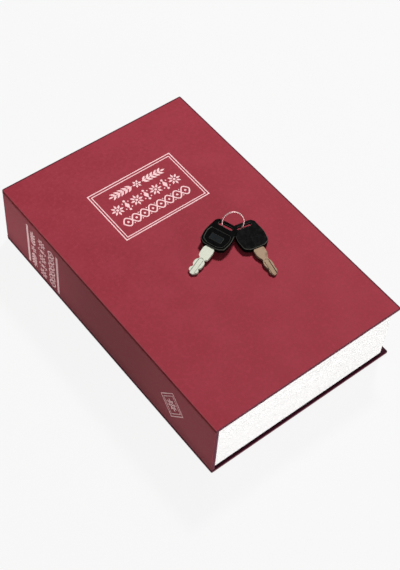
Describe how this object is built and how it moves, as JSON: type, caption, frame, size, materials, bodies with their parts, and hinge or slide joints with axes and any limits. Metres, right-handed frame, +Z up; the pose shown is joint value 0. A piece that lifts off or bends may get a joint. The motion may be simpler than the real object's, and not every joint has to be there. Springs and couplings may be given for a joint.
{
  "type": "book diversion safe",
  "caption": "Hardcover book whose opening front cover hides a steel tray with a hinged, cam-locked lid, with two keys on a ring.",
  "frame": {"origin": "under the middle of the closed book, on the surface it lies on", "axes": "+X from the spine to the fore-edge, +Y from the tail to the head, +Z up through the front cover"},
  "size_m": [0.157, 0.24, 0.0703],
  "materials": {
    "cover_wrap": "imitation leather, finely grained, matt",
    "cover_board": "greyboard",
    "endpaper": "plain paper",
    "page_block": "moulded with fine page lines",
    "adhesive": "foam adhesive sheet",
    "black_steel": "black powder coat",
    "hinge_steel": "zinc plated",
    "rivet": "plain",
    "lock_chrome": "polished",
    "wafer_brass": "stamped",
    "key_blade": "nickel plated",
    "key_bow": "satin moulded",
    "key_ring": "bright wire"
  },
  "bodies": {
    "case": {"spine_board": "cover_board", "spine_and_back_wrap": "cover_wrap", "cover_hinge_strip": "cover_wrap", "back_board": "cover_board", "back_endpaper": "endpaper", "page_block": "page_block", "base_adhesive_sheet": "adhesive", "spine_adhesive_sheet": "adhesive", "steel_tray": "black_steel", "tail_hinge_tray_leaf": "hinge_steel", "tail_hinge_pin": "hinge_steel", "tail_hinge_tray_rivet_1": "rivet", "tail_hinge_tray_rivet_2": "rivet", "head_hinge_tray_leaf": "hinge_steel", "head_hinge_pin": "hinge_steel", "head_hinge_tray_rivet_1": "rivet", "head_hinge_tray_rivet_2": "rivet", "strike_bracket": "hinge_steel", "strike_rivet_1": "rivet", "strike_rivet_2": "rivet"},
    "front_cover": {"front_board": "cover_board", "front_cover_wrap": "cover_wrap", "front_endpaper": "endpaper"},
    "lid": {"box_lid": "black_steel", "tail_hinge_lid_leaf": "hinge_steel", "tail_hinge_lid_rivet_1": "rivet", "tail_hinge_lid_rivet_2": "rivet", "head_hinge_lid_leaf": "hinge_steel", "head_hinge_lid_rivet_1": "rivet", "head_hinge_lid_rivet_2": "rivet", "lock_housing": "lock_chrome", "lock_nut": "hinge_steel"},
    "lock_core": {"lock_plug": "lock_chrome", "lock_wafer_1": "wafer_brass", "lock_wafer_2": "wafer_brass", "lock_wafer_3": "wafer_brass", "lock_wafer_4": "wafer_brass", "lock_cam": "hinge_steel", "cam_washer": "hinge_steel", "cam_screw": "rivet"},
    "right_key": {"right_key_blade": "key_blade", "right_key_bow": "key_bow"},
    "left_key": {"left_key_blade": "key_blade", "left_key_bow": "key_bow"},
    "key_ring": {"key_ring": "key_ring"}
  },
  "joints": [
    {"name": "cover_hinge", "type": "hinge", "parent": "case", "child": "front_cover", "pos_m": [-0.0786, 0, 0.05175], "axis": [0, -1, 0], "range_deg": [0, 180], "deforming": ["cover_hinge_strip"]},
    {"name": "lid_hinge", "type": "hinge", "parent": "case", "child": "lid", "pos_m": [-0.06015, 0, 0.04935], "axis": [0, -1, 0], "range_deg": [0, 105]},
    {"name": "lock_turn", "type": "hinge", "parent": "lid", "child": "lock_core", "pos_m": [0.044, 0, 0.04], "axis": [0, 0, -1], "range_deg": [0, 90]},
    {"name": "keys_lift", "type": "slide", "parent": "front_cover", "child": "right_key", "axis": [0, 0, 1], "range_m": [0, 0.03]},
    {"name": "left_key_swing", "type": "hinge", "parent": "right_key", "child": "left_key", "pos_m": [0.02217, 0.00027, 0.06187], "axis": [0, 0, 1], "range_deg": [-12, 3]},
    {"name": "ring_swing", "type": "hinge", "parent": "right_key", "child": "key_ring", "pos_m": [0.02217, 0.00027, 0.06187], "axis": [0.7994, -0.5498, -0.2421], "range_deg": [0, 24]}
  ],
  "couplings": [
    {"joint": "lid_hinge", "follows": "cover_hinge", "ratio": 0.58333}
  ]
}
